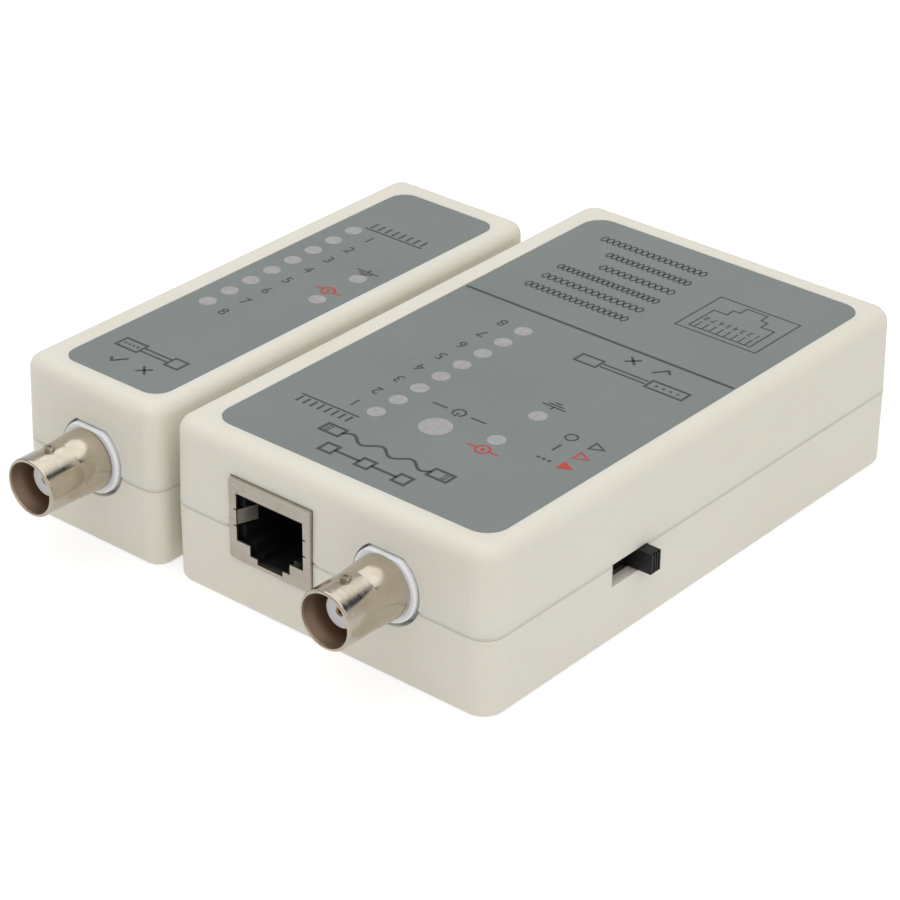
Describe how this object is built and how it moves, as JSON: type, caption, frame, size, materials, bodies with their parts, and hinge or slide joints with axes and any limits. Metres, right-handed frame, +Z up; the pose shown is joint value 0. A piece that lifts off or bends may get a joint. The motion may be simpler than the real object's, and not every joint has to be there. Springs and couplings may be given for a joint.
{
  "type": "network cable tester",
  "caption": "Network cable tester in two flat ivory cases, main unit and remote, each with a modular jack, a coaxial bayonet socket and rows of indicator lamps.",
  "frame": {"origin": "centre of the main tester's underside, on the surface both units stand on", "axes": "+Z up through the lamp face, -Y towards the connector end of the main tester, +X towards its slide switch, the remote unit lies on the -X side"},
  "size_m": [0.0962, 0.1167, 0.0277],
  "materials": {
    "ivory_plastic": "fine satin moulding texture",
    "label_film": "matt printed film",
    "lamp_window": "frosted film",
    "tinplate": "bright tinplate",
    "nickel_plate": "polished nickel plate",
    "gilt": "gold flash",
    "white_plastic": "smooth moulding",
    "black_plastic": "satin moulding",
    "circuit_board": "coated laminate",
    "lamp_green": "clear tinted epoxy",
    "lamp_red": "clear tinted epoxy",
    "tinned_wire": "tinned",
    "screw_steel": "zinc plated",
    "resistor_body": "lacquered",
    "capacitor_sleeve": "shrink sleeve",
    "laminate_brown": "phenolic laminate",
    "battery_jacket": "printed steel jacket",
    "wire_red": "soft insulation",
    "wire_black": "soft insulation"
  },
  "bodies": {
    "main_unit": {"main_upper_shell": "ivory_plastic", "main_lower_shell": "ivory_plastic", "main_label": "label_film", "main_lamp_windows": "lamp_window", "main_case_screws": "screw_steel", "main_board_screws": "screw_steel", "main_circuit_board": "circuit_board", "main_pin_lamps": "lamp_green", "main_status_lamps": "lamp_red", "power_lamp": "lamp_red", "main_lamp_leads": "tinned_wire", "main_resistors": "resistor_body", "counter_chip": "black_plastic", "timer_chip": "black_plastic", "chip_pins": "tinned_wire", "capacitor": "capacitor_sleeve", "main_jack_shield": "tinplate", "main_jack_housing": "black_plastic", "main_jack_contacts": "gilt", "main_jack_springs": "tinplate", "main_bnc_body": "white_plastic", "main_bnc_barrel": "nickel_plate", "main_bnc_insulator": "white_plastic", "main_bnc_contact": "gilt", "switch_frame": "tinplate", "switch_base": "laminate_brown", "switch_terminals": "tinned_wire", "battery": "battery_jacket", "battery_terminals": "nickel_plate", "battery_snap": "black_plastic", "battery_wire_black": "wire_black", "battery_wire_red": "wire_red"},
    "switch_slider": {"switch_knob": "black_plastic", "switch_wiper": "gilt"},
    "battery_door": {"battery_door": "ivory_plastic"},
    "remote_unit": {"remote_upper_shell": "ivory_plastic", "remote_lower_shell": "ivory_plastic", "remote_label": "label_film", "remote_lamp_windows": "lamp_window", "remote_case_screws": "screw_steel", "remote_board_screws": "screw_steel", "remote_circuit_board": "circuit_board", "remote_pin_lamps": "lamp_green", "remote_status_lamps": "lamp_red", "remote_lamp_leads": "tinned_wire", "remote_resistors": "resistor_body", "remote_jack_shield": "tinplate", "remote_jack_housing": "black_plastic", "remote_jack_contacts": "gilt", "remote_jack_springs": "tinplate", "remote_bnc_body": "white_plastic", "remote_bnc_barrel": "nickel_plate", "remote_bnc_insulator": "white_plastic", "remote_bnc_contact": "gilt"}
  },
  "joints": [
    {"name": "switch_slide", "type": "slide", "parent": "main_unit", "child": "switch_slider", "axis": [0, -1, 0], "range_m": [0, 0.0058]},
    {"name": "battery_door_slide", "type": "slide", "parent": "main_unit", "child": "battery_door", "axis": [0, 1, 0], "range_m": [0, 0.034]},
    {"name": "remote_lift_off", "type": "slide", "parent": "main_unit", "child": "remote_unit", "axis": [-1, 0, 0], "range_m": [0, 0.1]}
  ]
}
